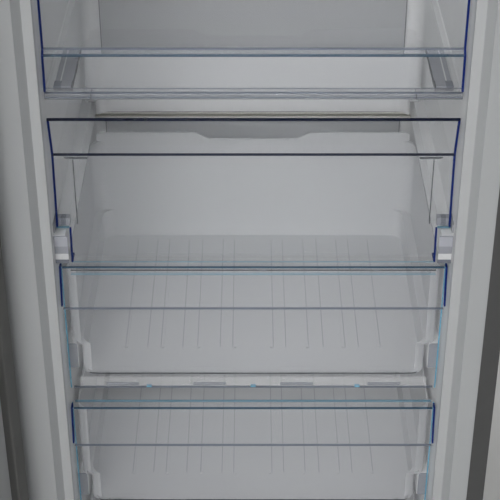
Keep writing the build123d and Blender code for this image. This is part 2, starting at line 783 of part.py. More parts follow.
def visor_front_panel(top, bottom, floor):
    """The clear front of a low drawer: a face, and a visor that leans forward over it as the handle."""
    with BuildPart() as front:
        add(bent_sheet([(main_face, top - face_overlap), (main_face + face_lean, bottom)],
                       front_sheet, liner_offset, front_half, side=Side.LEFT))
        clip_low = bottom + clip_rise
        clip_high = floor + clip_lap
        with Locations((liner_offset, low_tub_front - clip_sheet / 2, (clip_low + clip_high) / 2)):
            with GridLocations(clip_pitch, 1, clip_count, 1):
                Box(clip_width, clip_sheet, clip_high - clip_low)
        add(bent_sheet([(main_face + visor_rear, top), (visor_top, top), (visor_front, top - visor_drop)],
                       front_sheet, liner_offset, front_half, side=Side.LEFT))
    return front


tall_fold = 52.0
notch_height = 45.0
notch_half = 213.7
tall_front_lip = 40.0
tall_front_fold = 53.0
tall_front_foot = 42.0

tall_tub_front = 59.0
tall_side_drop = 59.0          # the tub's side walls below the top of the front
low_side_drop = 18.0
low_tops = [low_drawer_top - level_pitch * i for i in range(3)]

drawer_1_tub = drawer_tub(drawer_floors[0], tall_drawer_top - tall_side_drop, tall_tub_front, tub_back)
drawer_2_tub = drawer_tub(drawer_floors[1], low_tops[0] - low_side_drop, low_tub_front, tub_back)
drawer_3_tub = drawer_tub(drawer_floors[2], low_tops[1] - low_side_drop, low_tub_front, tub_back)
drawer_4_tub = drawer_tub(drawer_floors[3], low_tops[2] - low_side_drop, low_tub_front, bottom_tub_back)

with BuildPart() as drawer_1_front:
    add(bent_sheet([(tall_front_lip, tall_drawer_top), (tall_front_fold, tall_drawer_top - tall_fold),
                    (tall_front_foot, tall_drawer_floor), (tall_tub_front, tall_drawer_floor)],
                   front_sheet, liner_offset, front_half, side=Side.LEFT))
    for side in (-1, 1):
        x = sorted((liner_offset + side * notch_half, liner_offset + side * half_casing))
        block(x, both(0, far), (0, tall_drawer_floor + notch_height), mode=Mode.SUBTRACT)

drawer_2_front = visor_front_panel(low_tops[0], low_drawer_bottom, drawer_floors[1])
drawer_3_front = visor_front_panel(low_tops[1], low_drawer_bottom - level_pitch, drawer_floors[2])
drawer_4_front = visor_front_panel(low_tops[2], bottom_drawer_bottom, drawer_floors[3])

stop_sheet = 2.0
stop_length = 26.0
stop_height = 11.0
stop_gap = 1.0                 # over the shoulder of the tall tub
stop_low = tall_drawer_floor + tub_shoulder + stop_gap
with BuildPart() as drawer_stop_clips:
    for side in (-1, 1):
        x = sorted((liner_offset + side * cavity_half, liner_offset + side * (cavity_half - stop_sheet)))
        block(x, (tall_rail_front, tall_rail_front + stop_length), (stop_low, stop_low + stop_height))

# ---------------------------------------------------------------- hinges
bracket_side = 6.0             # of the bracket's metal to the left of the pin
bracket_front = 12.0           # and before it
upper_bracket = 60.0
upper_round = 5.0
upper_screw_x = hinge_x + 40.0
upper_screws_y = (20.0, 45.0)
pin_depth = 18.0
lower_bracket = 34.0
lower_gap = 4.0                # under the door
lower_screw_x = hinge_x + 22.0
lower_screws_z = (crossbar_bottom + 12.0, crossbar_bottom + 28.0)
lower_foot = crossbar_bottom + 4.0
bracket_edge = 2.0
screw_head = 5.0
screw_head_height = 3.0
hinge_front = hinge_y - bracket_front
upper_top = casing_top + hinge_plate
lower_top = door_bottom - lower_gap

with BuildPart() as upper_hinge:
    block((hinge_x - bracket_side, hinge_x + upper_bracket), (hinge_front, upper_bracket),
          (casing_top, upper_top))
    fillet(upper_hinge.edges().filter_by(Axis.Z), upper_round)
    rod((hinge_x, hinge_y, upper_top - pin_depth / 2), hinge_pin, pin_depth)
    for y in upper_screws_y:
        rod((upper_screw_x, y, casing_top), hinge_screw, 4 * hinge_plate, mode=Mode.SUBTRACT)

with BuildPart() as lower_hinge:
    lower_edge = hinge_x + lower_bracket
    block((hinge_x - bracket_side, lower_edge), (hinge_front, 0), (lower_top - hinge_plate, lower_top))
    block((-half_casing + bracket_edge, lower_edge), (-hinge_plate, 0), (lower_foot, lower_top))
    rod((hinge_x, hinge_y, lower_top + pin_depth / 2), hinge_pin, pin_depth)
    for z in lower_screws_z:
        rod((lower_screw_x, 0, z), hinge_screw, 4 * hinge_plate, Axis.Y, mode=Mode.SUBTRACT)

with BuildPart() as hinge_screws:
    for y in upper_screws_y:
        rod((upper_screw_x, y, upper_top + screw_head_height / 2), screw_head, screw_head_height)
        rod((upper_screw_x, y, casing_top + hinge_plate / 2), hinge_screw, hinge_plate)
    for z in lower_screws_z:
        rod((lower_screw_x, -hinge_plate - screw_head_height / 2, z), screw_head, screw_head_height, Axis.Y)
        rod((lower_screw_x, -hinge_plate / 2, z), hinge_screw, hinge_plate, Axis.Y)

cover_height = 22.0
cover_wall = 2.0
cover_round = 6.0
cover_room = 12.0              # between the bracket and the cover's inside
cover_front_room = 6.0
with BuildPart() as hinge_cover:
    block((-half_casing + cover_wall, hinge_x + upper_bracket + cover_room + cover_wall),
          (hinge_front - cover_front_room - cover_wall, upper_bracket + cover_room + cover_wall),
          (casing_top, casing_top + cover_height))
    fillet(hinge_cover.edges().group_by(Axis.Z)[-1], cover_round)
    block((hinge_x - bracket_side, hinge_x + upper_bracket + cover_room),
          (hinge_front - cover_front_room, upper_bracket + cover_room),
          (casing_bottom, casing_top + cover_height - cover_wall), mode=Mode.SUBTRACT)

# ---------------------------------------------------------------- door, drawn closed
door_sheet = 1.0
door_corner = 6.0
cap_height = 16.0
door_liner_sheet = 2.0
door_liner_inset = 1.0
dike_half = 232.0
dike_depth = 10.0
dike_round = 8.0
gasket_outer = 294.0
gasket_inner = 273.0
gasket_round = 3.0
panel_half = 70.0
panel_low = 1470.0
panel_high = 1510.0
panel_sheet = 6.0


def door_form(inset, low, high):
    """The door's box with its rounded front edges, drawn in at the front and the sides."""
    with BuildPart() as form:
        block(both(0, half_casing - inset), (door_front + inset, door_back), (low, high))
        fillet(form.edges().filter_by(Axis.Z).group_by(Axis.Y)[0], door_corner - inset)
    return form.part


liner_low = door_bottom + cap_height
liner_high = door_top - cap_height

with BuildPart() as door_skin:
    add(door_form(0, liner_low, liner_high))
    add(door_form(door_sheet, liner_low, liner_high), mode=Mode.SUBTRACT)
    block(both(0, panel_half), both(door_front, 2 * panel_sheet), (panel_low, panel_high), mode=Mode.SUBTRACT)

with BuildPart() as door_end_caps:
    for low in (door_bottom, door_top - cap_height):
        add(door_form(0, low, low + cap_height))
    rod((hinge_x, hinge_y, mouth_middle), hinge_pin + running, far, mode=Mode.SUBTRACT)

dike_edge = 10.0               # the raised part of the door liner stays this far inside the mouth
dike_wall = 26.0
with BuildPart() as door_liner:
    block(both(0, half_casing - door_liner_inset), (door_back, door_back + door_liner_sheet),
          (door_bottom, door_top))
    block(both(liner_offset, dike_half), (door_back + door_liner_sheet, dike_depth),
          (mouth_bottom + dike_edge, mouth_top - dike_edge))
    fillet(door_liner.edges().group_by(Axis.Y)[-1], dike_round)
    block(both(liner_offset, dike_half - dike_wall), (-far, dike_depth - door_liner_sheet),
          (mouth_bottom + dike_edge + dike_wall, mouth_top - dike_edge - dike_wall), mode=Mode.SUBTRACT)

panel_depth = 18.0             # room for the panel and its board
with BuildPart() as door_foam:
    add(door_form(door_sheet, liner_low, liner_high))
    block(both(liner_offset, dike_half - dike_wall),
          (door_front + panel_depth, dike_depth - door_liner_sheet),
          (mouth_bottom + dike_edge + dike_wall, mouth_top - dike_edge - dike_wall))
    block(both(0, panel_half), (door_front, door_front + panel_depth), (panel_low, panel_high),
          mode=Mode.SUBTRACT)

gasket_bottom = door_bottom + 6.0
gasket_top = door_top - 6.0
gasket_foot = 20.0             # height of the seal's upper and lower bars
with BuildPart() as door_gasket:
    block(both(0, gasket_outer), (door_back + door_liner_sheet, -seat_gap), (gasket_bottom, gasket_top))
    block(both(0, gasket_inner), both(0, far), (gasket_bottom + gasket_foot, gasket_top - gasket_foot),
          mode=Mode.SUBTRACT)
    fillet(door_gasket.edges().group_by(Axis.Y)[-1], gasket_round)

handle_x = 262.0
handle_low = 700.0
handle_high = 1120.0
handle_reach = 44.0
handle_radius = 10.0
handle_round = 3.0
mount_inset = 45.0
post_radius = 9.0
post_length = handle_reach - handle_radius

with BuildPart() as door_handle:
    rod((handle_x, door_front - handle_reach, (handle_low + handle_high) / 2), handle_radius,
        handle_high - handle_low)
    fillet(door_handle.edges().filter_by(GeomType.CIRCLE), handle_round)

with BuildPart() as handle_mounts:
    for z in (handle_low + mount_inset, handle_high - mount_inset):
        rod((handle_x, door_front - post_length / 2, z), post_radius, post_length, Axis.Y)
        rod((handle_x, door_front - handle_reach, z), handle_radius, far, mode=Mode.SUBTRACT)

button_radius = 7.0
button_pitch = 28.0
button_proud = 2.0
button_round = 1.0
button_z = (panel_low + panel_high) / 2
buttons_x = [button_pitch * i for i in (-1, 0, 1)]
board_standoff = 4.0
board_sheet = 1.6
board_margin = 4.0
board_post_half = 3.0
board_front = door_front + panel_sheet + board_standoff

with BuildPart() as control_panel:
    block(both(0, panel_half), (door_front, door_front + panel_sheet), (panel_low, panel_high))
    for x in buttons_x:
        rod((x, door_front, button_z), button_radius + seat_gap, far, Axis.Y, mode=Mode.SUBTRACT)

with BuildPart() as control_board:
    block(both(0, panel_half - board_margin), (board_front, board_front + board_sheet),
          (panel_low + board_margin, panel_high - board_margin))
    for x in both(0, panel_half - 2 * board_margin):
        block(both(x, board_post_half), (door_front + panel_sheet, board_front),
              (panel_low + board_margin, panel_high - board_margin))


def button(x):
    """A round key that travels into the panel and springs back."""
    with BuildPart() as key:
        rod((x, door_front + (panel_sheet - button_proud) / 2, button_z), button_radius,
            panel_sheet + button_proud, Axis.Y)
        fillet(key.edges().filter_by(GeomType.CIRCLE).group_by(Axis.Y)[0], button_round)
    return key


button_power = button(buttons_x[0])
button_colder = button(buttons_x[1])
button_fast_freeze = button(buttons_x[2])

# ---------------------------------------------------------------- files
cabinet_pieces = {
    "outer_casing": outer_casing,
    "back_panel": back_panel,
    "liner": liner,
    "foam_insulation": foam_insulation,
    "base_pan": base_pan,
    "front_crossbar": front_crossbar,
    "kick_plinth": kick_plinth,
    "foot_left": foot_left,
    "foot_right": foot_right,
    "compressor_support": compressor_support,
    "rear_roller_left": rear_roller_left,
    "rear_roller_right": rear_roller_right,
    "rubber_mounts": rubber_mounts,
    "compressor": compressor,
    "terminal_box": terminal_box,
    "condensate_tray": condensate_tray,
    "rear_bay_cover": rear_bay_cover,
    "cord_gland": cord_gland,
    "condenser": condenser,
    "discharge_line": discharge_line,
    "evaporator_cover": evaporator_cover,
    "evaporator": evaporator,
    "defrost_heater": defrost_heater,
    "drain_trough": drain_trough,
    "fan_housing": fan_housing,
    "fan_rotor": fan_rotor,
    "temperature_sensor": temperature_sensor,
    "drawer_shelf_glass": drawer_shelf_glass,
    "flap_shelf_glass": flap_shelf_glass,
    "shelf_front_trims": shelf_front_trims,
    "rear_shelf_trim": rear_shelf_trim,
    "shelf_side_strips": shelf_side_strips,
    "flap_1": flap_1,
    "flap_2": flap_2,
    "flap_3": flap_3,
    "drawer_1_tub": drawer_1_tub,
    "drawer_1_front": drawer_1_front,
    "drawer_2_tub": drawer_2_tub,
    "drawer_2_front": drawer_2_front,
    "drawer_3_tub": drawer_3_tub,
    "drawer_3_front": drawer_3_front,
    "drawer_4_tub": drawer_4_tub,
    "drawer_4_front": drawer_4_front,
    "drawer_stop_clips": drawer_stop_clips,
    "upper_hinge": upper_hinge,
    "lower_hinge": lower_hinge,
    "hinge_screws": hinge_screws,
    "hinge_cover": hinge_cover,
}
door_pieces = {
    "door_skin": door_skin,
    "door_end_caps": door_end_caps,
    "door_liner": door_liner,
    "door_foam": door_foam,
    "door_gasket": door_gasket,
    "door_handle": door_handle,
    "handle_mounts": handle_mounts,
    "control_panel": control_panel,
    "control_board": control_board,
    "button_power": button_power,
    "button_colder": button_colder,
    "button_fast_freeze": button_fast_freeze,
}

os.makedirs("parts", exist_ok=True)
for name, piece in cabinet_pieces.items():
    piece.part.label = name
    export_step(piece.part, f"parts/{name}.step")

door_hinge = Axis((hinge_x, hinge_y, 0), (0, 0, 1))
for name, piece in door_pieces.items():
    swung = piece.part.rotate(door_hinge, -door_swing)
    swung.label = name
    export_step(swung, f"parts/{name}.step")
print(len(cabinet_pieces) + len(door_pieces), "pieces")
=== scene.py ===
import json
from math import radians
import bmesh
import bpy
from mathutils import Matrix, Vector


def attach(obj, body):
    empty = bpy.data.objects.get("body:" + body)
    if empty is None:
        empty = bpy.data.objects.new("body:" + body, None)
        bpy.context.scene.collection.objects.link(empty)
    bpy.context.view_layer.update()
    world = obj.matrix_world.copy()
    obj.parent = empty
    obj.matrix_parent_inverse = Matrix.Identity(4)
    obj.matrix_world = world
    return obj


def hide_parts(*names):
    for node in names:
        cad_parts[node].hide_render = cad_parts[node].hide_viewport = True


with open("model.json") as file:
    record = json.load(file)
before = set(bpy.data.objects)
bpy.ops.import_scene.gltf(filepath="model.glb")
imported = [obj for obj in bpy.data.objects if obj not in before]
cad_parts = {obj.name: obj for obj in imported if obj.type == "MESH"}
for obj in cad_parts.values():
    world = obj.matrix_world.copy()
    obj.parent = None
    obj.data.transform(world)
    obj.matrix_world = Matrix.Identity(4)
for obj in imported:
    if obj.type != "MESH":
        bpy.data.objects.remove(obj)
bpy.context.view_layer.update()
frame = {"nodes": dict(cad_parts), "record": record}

nodes = frame["nodes"]
body_of_node = {node: body for body, held in frame["record"]["behaviour"]["bodies"].items() for node in held}

# ------------------------------------------------------------------ camera, floor and light
# The photograph looks steeply down into the open cabinet from standing height, straight on and
# from close by, with a long lens. The floor is plain and pale, and the light is a soft studio box.
MM = 0.001
EYE_X = 3.1 * MM
EYE_AHEAD = 1394.0 * MM        # from the cabinet's front plane
EYE_HEIGHT = 1640.0 * MM
EYE_PITCH = 32.86              # degrees below level
LENS = 105.3
SENSOR = 36.0

camera_data = bpy.data.cameras.new("camera")
camera_data.lens = LENS
camera_data.sensor_width = SENSOR
camera = bpy.data.objects.new("camera", camera_data)
camera.location = (EYE_X, -EYE_AHEAD, EYE_HEIGHT)
camera.rotation_euler = (radians(90 - EYE_PITCH), 0, 0)
bpy.context.collection.objects.link(camera)
bpy.context.scene.camera = camera
bpy.context.scene.view_settings.view_transform = "Standard"


def put(name, bm, body=None, *materials):
    """Make a piece of a bmesh, with its place in its mesh, and let it ride on a body."""
    mesh = bpy.data.meshes.new(name)
    bm.to_mesh(mesh)
    bm.free()
    piece = bpy.data.objects.new(name, mesh)
    bpy.context.collection.objects.link(piece)
    for material in materials:
        mesh.materials.append(material)
    if body:
        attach(piece, body)
    return piece


def linear(*srgb):
    """A colour given in 0 to 255 as a screen shows it, as light."""
    return tuple(((c / 255 + 0.055) / 1.055) ** 2.4 if c > 10 else c / 255 / 12.92 for c in srgb) + (1.0,)


def shader(name, colour, rough, metallic=0.0, **sockets):
    """A material with one Principled shader; returns it with its node tree and shader."""
    material = bpy.data.materials.new(name)
    material.use_nodes = True
    tree = material.node_tree
    bsdf = tree.nodes["Principled BSDF"]
    bsdf.inputs["Base Color"].default_value = colour
    bsdf.inputs["Roughness"].default_value = rough
    bsdf.inputs["Metallic"].default_value = metallic
    for socket, value in sockets.items():
        bsdf.inputs[socket.replace("_", " ")].default_value = value
    return material, tree, bsdf


def noise(tree, scale, detail=3.0, stretch=(1, 1, 1)):
    """Noise on the piece's own coordinates, stretched along its axes."""
    place = tree.nodes.new("ShaderNodeTexCoord")
    mapping = tree.nodes.new("ShaderNodeMapping")
    mapping.inputs["Scale"].default_value = stretch
    tree.links.new(place.outputs["Object"], mapping.inputs["Vector"])
    texture = tree.nodes.new("ShaderNodeTexNoise")
    texture.inputs["Scale"].default_value = scale
    texture.inputs["Detail"].default_value = detail
    tree.links.new(mapping.outputs["Vector"], texture.inputs["Vector"])
    return texture.outputs["Fac"]


def spread(tree, value, low, high, target):
    """Send a 0 to 1 value to a socket as a range of numbers."""
    ranged = tree.nodes.new("ShaderNodeMapRange")
    ranged.inputs["From Min"].default_value = 0.3
    ranged.inputs["From Max"].default_value = 0.7
    ranged.inputs["To Min"].default_value = low
    ranged.inputs["To Max"].default_value = high
    tree.links.new(value, ranged.inputs["Value"])
    tree.links.new(ranged.outputs["Result"], target)


def tint(tree, value, first, second, target):
    """Send a 0 to 1 value to a colour socket as a mix of two colours."""
    mix = tree.nodes.new("ShaderNodeMix")
    mix.data_type = "RGBA"
    mix.inputs["A"].default_value = first
    mix.inputs["B"].default_value = second
    tree.links.new(value, mix.inputs["Factor"])
    tree.links.new(mix.outputs["Result"], target)


def relief(tree, bsdf, value, height, strength=0.5):
    """Bump on the shader, with a real height in metres."""
    bump = tree.nodes.new("ShaderNodeBump")
    bump.inputs["Distance"].default_value = height
    bump.inputs["Strength"].default_value = strength
    tree.links.new(value, bump.inputs["Height"])
    tree.links.new(bump.outputs["Normal"], bsdf.inputs["Normal"])


def shade(colour, factor):
    """A colour made lighter or darker by a factor."""
    return tuple(min(1.0, c * factor) for c in colour[:3]) + (1.0,)


def wrap(node, material):
    """Give a CAD node its finish."""
    data = nodes[node].data
    data.materials.clear()
    data.materials.append(material)


FLOOR_HALF = 6.0
floor_material, tree, bsdf = shader("studio_floor", linear(214, 214, 212), 0.8)
tint(tree, noise(tree, 3.0), linear(212, 212, 210), linear(217, 217, 215), bsdf.inputs["Base Color"])
bm = bmesh.new()
bmesh.ops.create_grid(bm, x_segments=1, y_segments=1, size=FLOOR_HALF)
floor = put("floor", bm, None, floor_material)

world = bpy.data.worlds.new("studio")
bpy.context.scene.world = world
world.use_nodes = True
background = world.node_tree.nodes["Background"]
background.inputs["Color"].default_value = (0.88, 0.89, 0.90, 1)
background.inputs["Strength"].default_value = 0.3


def soft_box(name, place, aim, size, watts, spread_angle=180):
    """An area lamp that looks at a point, with a grid before it where its light is kept narrow."""
    lamp = bpy.data.lights.new(name, "AREA")
    lamp.spread = radians(spread_angle)
    lamp.shape = "RECTANGLE"
    lamp.size, lamp.size_y = size
    lamp.energy = watts
    holder = bpy.data.objects.new(name, lamp)
    holder.location = place
    holder.rotation_euler = (Vector(aim) - Vector(place)).to_track_quat("-Z", "Y").to_euler()
    bpy.context.collection.objects.link(holder)


soft_box("key_light", (-1.5, -2.6, 2.5), (0, 0.3, 0.85), (1.5, 1.5), 44)
soft_box("low_light", (-0.4, -2.6, 1.1), (0, 0.3, 0.7), (1.4, 1.4), 14)
soft_box("cavity_light", (0.007, -2.2, 2.6), (0.007, 0.25, 0.80), (0.38, 1.2), 0.6, 14)
soft_box("left_light", (-3.4, 0.3, 1.9), (0, 0.3, 0.8), (1.6, 1.6), 26)
soft_box("right_light", (3.4, 1.3, 1.9), (0, 0.5, 0.8), (1.4, 1.4), 30)
soft_box("back_light", (0.5, 3.6, 2.0), (0, 0.4, 0.9), (1.8, 1.8), 24)
bpy.context.scene.cycles.transparent_max_bounces = 64

# ------------------------------------------------------------------ casing
# The cabinet's wrapper is folded from one sheet of steel and powder coated dark grey, with a
# strip turned in along its front edge. The bar at the foot of the front has the same coat.
CASING_DARK = linear(70, 70, 70)


def coated_steel(name, colour):
    """Powder coat: an even colour with a fine orange peel."""
    material, tree, bsdf = shader(name, colour, 0.55, Coat_Weight=0.05, Coat_Roughness=0.45)
    tint(tree, noise(tree, 7.0), shade(colour, 0.94), shade(colour, 1.06), bsdf.inputs["Base Color"])
    spread(tree, noise(tree, 60.0), 0.5, 0.6, bsdf.inputs["Roughness"])
    relief(tree, bsdf, noise(tree, 900.0, 2.0), 0.00008, 0.35)
    return material


coat = coated_steel("powder_coat", CASING_DARK)
wrap("outer_casing", coat)
wrap("front_crossbar", coat)

# ------------------------------------------------------------------ galvanised panels
# The rear panel, the pan under the foam and the bar that carries the compressor are bare
# galvanised sheet, with the spangle of hot-dip zinc.
ZINC = linear(168, 171, 174)
material, tree, bsdf = shader("galvanised_sheet", ZINC, 0.45, 0.85)
place = tree.nodes.new("ShaderNodeTexCoord")
spangle = tree.nodes.new("ShaderNodeTexVoronoi")
spangle.inputs["Scale"].default_value = 70.0
tree.links.new(place.outputs["Object"], spangle.inputs["Vector"])
grey = tree.nodes.new("ShaderNodeRGBToBW")
tree.links.new(spangle.outputs["Color"], grey.inputs["Color"])
tint(tree, grey.outputs["Val"], shade(ZINC, 0.82), shade(ZINC, 1.1), bsdf.inputs["Base Color"])
spread(tree, grey.outputs["Val"], 0.36, 0.55, bsdf.inputs["Roughness"])
zinc = material
for node in ("back_panel", "base_pan", "compressor_support"):
    wrap(node, zinc)

# ------------------------------------------------------------------ liner and rear cover
# The liner is one sheet of white polystyrene, drawn by vacuum over a form, so that its mouth,
# its drawer rails and its ledges are all rounded. The rear cover hides the evaporator.
LINER_WHITE = linear(228, 229, 230)
# The liner's mouth is painted grey, a painted shade on the white sheet, which fades into the white between
# these depths.
MOUTH_PAINTED_SHADE = linear(170, 172, 173)
PAINTED_SHADE_TO = 13 * MM              # depth to which the liner has the painted shade of its mouth
WHITE_FROM = 30 * MM           # depth from which it is white


def smooth_plastic(name, colour, rough, peel=0.00003):
    """Glossy moulded plastic, a little uneven as drawn or moulded sheet is."""
    material, tree, bsdf = shader(name, colour, rough, Specular_IOR_Level=0.45)
    tint(tree, noise(tree, 4.0), shade(colour, 0.975), shade(colour, 1.02), bsdf.inputs["Base Color"])
    spread(tree, noise(tree, 35.0), rough * 0.85, rough * 1.2, bsdf.inputs["Roughness"])
    relief(tree, bsdf, noise(tree, 140.0, 2.0), peel, 0.3)
    return material


liner_white_painted_mouth = smooth_plastic("liner_polystyrene", LINER_WHITE, 0.36)
tree = liner_white_painted_mouth.node_tree
bsdf = tree.nodes["Principled BSDF"]
place = tree.nodes.new("ShaderNodeTexCoord")
axes = tree.nodes.new("ShaderNodeSeparateXYZ")
tree.links.new(place.outputs["Object"], axes.inputs["Vector"])
mouth_shade_fade = tree.nodes.new("ShaderNodeMapRange")
mouth_shade_fade.inputs["From Min"].default_value = PAINTED_SHADE_TO
mouth_shade_fade.inputs["From Max"].default_value = WHITE_FROM
tree.links.new(axes.outputs["Y"], mouth_shade_fade.inputs["Value"])
tint(tree, mouth_shade_fade.outputs["Result"], MOUTH_PAINTED_SHADE, LINER_WHITE, bsdf.inputs["Base Color"])
cover_white = smooth_plastic("cover_polystyrene", linear(176, 178, 180), 0.42)
seam_dark = smooth_plastic("cover_seam", linear(96, 98, 101), 0.5)
wrap("liner", liner_white_painted_mouth)
wrap("temperature_sensor", cover_white)

LINER_X = 7.0                  # the liner's middle, in millimetres
FAR = 1e4                      # past everything, for a range that is open at that end
ANY = (-FAR, FAR)
PANEL_HALF = 206.8             # from the middle to the seam at the cover's side


def copy_of(node):
    """A merged copy of a CAD node's mesh, with its flat faces whole."""
    bm = bmesh.new()
    bm.from_mesh(nodes[node].data)
    bmesh.ops.remove_doubles(bm, verts=bm.verts, dist=0.00001)
    bmesh.ops.dissolve_limit(bm, angle_limit=radians(0.6), verts=bm.verts, edges=bm.edges)
    return bm


def ease(bm, width, sharpness=35):
    """Ease the sharp edges of a shape."""
    sharp = [edge for edge in bm.edges
             if len(edge.link_faces) == 2 and edge.calc_face_angle(0) > radians(sharpness)]
    bmesh.ops.bevel(bm, geom=sharp, offset=width, segments=1, profile=0.5, affect="EDGES", material=-1)


def zone(bm, index, side=ANY, depth=ANY, height=ANY):
    """Cut a region out of the surface and give it a material: distance to the side of the liner's
    middle, depth and height are ranges in millimetres."""
    planes = [(Vector((1, 0, 0)), LINER_X + sign * limit) for limit in side for sign in (-1, 1)]
    planes += [(Vector((0, 1, 0)), limit) for limit in depth]
    planes += [(Vector((0, 0, 1)), limit) for limit in height]
    for normal, limit in planes:
        if abs(limit) < FAR / 2:
            bmesh.ops.bisect_plane(bm, geom=bm.verts[:] + bm.edges[:] + bm.faces[:], dist=1e-6,
                                   plane_co=normal * limit * MM, plane_no=normal)
    for face in bm.faces:
        x, y, z = face.calc_center_median() / MM
        if side[0] < abs(x - LINER_X) < side[1] and depth[0] < y < depth[1] and height[0] < z < height[1]:
            face.material_index = index


def stand_in(node, bm, *materials):
    """Put a piece in the place of its CAD node."""
    piece = put(node + "_finished", bm, body_of_node[node], *materials)
    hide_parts(node)


bm = copy_of("evaporator_cover")
zone(bm, 1, (PANEL_HALF, FAR))
stand_in("evaporator_cover", bm, cover_white, seam_dark)

# ------------------------------------------------------------------ foam
# Rigid polyurethane foam fills the walls. It shows nowhere once the freezer is put together.
FOAM = linear(226, 208, 160)
material, tree, bsdf = shader("rigid_foam", FOAM, 0.9)
tint(tree, noise(tree, 120.0), shade(FOAM, 0.85), FOAM, bsdf.inputs["Base Color"])
relief(tree, bsdf, noise(tree, 400.0), 0.0006)
wrap("foam_insulation", material)
wrap("door_foam", material)

# ------------------------------------------------------------------ dark plastic mouldings
# The plinth, feet, rollers, tray, covers and caps are moulded in dark plastic with a fine grain.
DARK = linear(58, 58, 60)


def grained_plastic(name, colour, rough=0.55):
    """Moulded plastic with a spark-eroded grain."""
    material, tree, bsdf = shader(name, colour, rough)
    tint(tree, noise(tree, 14.0), shade(colour, 0.9), shade(colour, 1.1), bsdf.inputs["Base Color"])
    relief(tree, bsdf, noise(tree, 1800.0, 1.0), 0.00012, 0.5)
    return material


dark_plastic = grained_plastic("dark_plastic", DARK)
for node in ("kick_plinth", "foot_left", "foot_right", "rear_roller_left", "rear_roller_right",
             "terminal_box", "condensate_tray", "rear_bay_cover", "fan_rotor", "hinge_cover",
             "door_end_caps", "control_panel"):
    wrap(node, dark_plastic)

# ------------------------------------------------------------------ cooling circuit
# The compressor is a welded pot in black enamel on rubber mounts. Its line runs through the
# dryer to a black wire condenser on the back; the aluminium evaporator sits behind the cover.
BLACK = linear(30, 30, 31)
enamel, tree, bsdf = shader("black_enamel", BLACK, 0.3, Coat_Weight=0.3)
tint(tree, noise(tree, 30.0), BLACK, linear(38, 38, 40), bsdf.inputs["Base Color"])
relief(tree, bsdf, noise(tree, 300.0), 0.0001, 0.3)
for node in ("compressor", "condenser"):
    wrap(node, enamel)

RUBBER = linear(36, 36, 37)
rubber, tree, bsdf = shader("black_rubber", RUBBER, 0.8)
tint(tree, noise(tree, 40.0), RUBBER, linear(46, 46, 47), bsdf.inputs["Base Color"])
relief(tree, bsdf, noise(tree, 700.0), 0.0001)
for node in ("rubber_mounts", "cord_gland"):
    wrap(node, rubber)

COPPER = linear(184, 115, 80)
copper, tree, bsdf = shader("copper_tube", COPPER, 0.35, 1.0)
tint(tree, noise(tree, 25.0), COPPER, linear(120, 74, 55), bsdf.inputs["Base Color"])
spread(tree, noise(tree, 60.0), 0.28, 0.5, bsdf.inputs["Roughness"])
wrap("discharge_line", copper)


def drawn_metal(name, colour, stretch, rough=0.32):
    """Metal with the fine lines of rolling or brushing along one axis."""
    material, tree, bsdf = shader(name, colour, rough, 1.0)
    lines = noise(tree, 300.0, 4.0, stretch)
    tint(tree, lines, shade(colour, 0.85), shade(colour, 1.08), bsdf.inputs["Base Color"])
    spread(tree, lines, rough * 0.8, rough * 1.3, bsdf.inputs["Roughness"])
    relief(tree, bsdf, lines, 0.00004, 0.4)
    return material


aluminium = drawn_metal("mill_aluminium", linear(196, 198, 202), (1, 1, 0.03))
wrap("evaporator", aluminium)
plated = drawn_metal("zinc_plated_steel", linear(176, 177, 178), (0.2, 1, 1), 0.3)
for node in ("defrost_heater", "upper_hinge", "lower_hinge", "hinge_screws"):
    wrap(node, plated)
white_plastic = smooth_plastic("white_plastic", linear(216, 217, 218), 0.4)
for node in ("drain_trough", "fan_housing", "button_power", "button_colder", "button_fast_freeze"):
    wrap(node, white_plastic)

# ------------------------------------------------------------------ clear plastic and glass
# Flaps, drawers and shelves are clear polystyrene and toughened glass. Their faces hardly show,
# and their cut edges gather the light and look deep blue in plastic and blue-green in glass.


def clear(name, colour, veil, rough=0.08, shine=0.5):
    """A clear sheet, of which each face veils what lies behind it by the same share."""
    material, tree, bsdf = shader(name, colour, rough, Alpha=veil, Specular_IOR_Level=shine)
    spread(tree, noise(tree, 20.0), rough * 0.8, rough * 1.5, bsdf.inputs["Roughness"])
    relief(tree, bsdf, noise(tree, 22.0, 1.0), 0.0002, 0.15)
    return material


clear_face = clear("clear_polystyrene", linear(196, 199, 204), 0.045)
tub_clear = clear("thin_clear_polystyrene", linear(196, 199, 204), 0.03)
frosted = clear("frosted_polystyrene", linear(236, 237, 239), 0.5, 0.45)
glass_face = clear("shelf_glass", linear(196, 202, 202), 0.05, 0.04)
ink = clear("lip_ink", linear(10, 20, 44), 0.96, 0.3, 0.12)
navy = clear("edge_navy", linear(10, 36, 104), 0.96, 0.3, 0.12)
sky = clear("edge_sky", linear(110, 172, 200), 0.85, 0.15)
teal = clear("edge_teal", linear(104, 142, 160), 0.85, 0.3, 0.2)
deep_teal = clear("edge_deep_teal", linear(44, 72, 92), 0.92, 0.3, 0.12)
slate = clear("edge_slate", linear(104, 112, 126), 0.8, 0.3, 0.2)
graphite = clear("edge_graphite", linear(72, 76, 82), 0.85, 0.2)
haze = clear("band_haze", linear(172, 177, 186), 0.22, 0.3, 0.2)
painted_glow_veil = clear("painted_glow_veil", linear(222, 223, 225), 0.24, 0.3)
rib_painted_shade = clear("rib_painted_shade", linear(206, 208, 211), 0.5, 0.45)
mist = clear("trim_mist", linear(190, 193, 198), 0.36, 0.3, 0.2)
painted_highlight_line = clear("painted_highlight_line", linear(214, 215, 216), 0.9, 0.3)

HALF = 228.8                   # of the fronts and flaps, in millimetres
EDGE = 2.3                     # width over which a side edge shows its colour
LEVELS = (914.0, 1126.0, 1338.0)   # of the glass under each flap
FLAP_TOP = 201                 # a flap's top over its glass
FINE_EASE = 0.0003             # easing of the edges of thin sheet, in metres

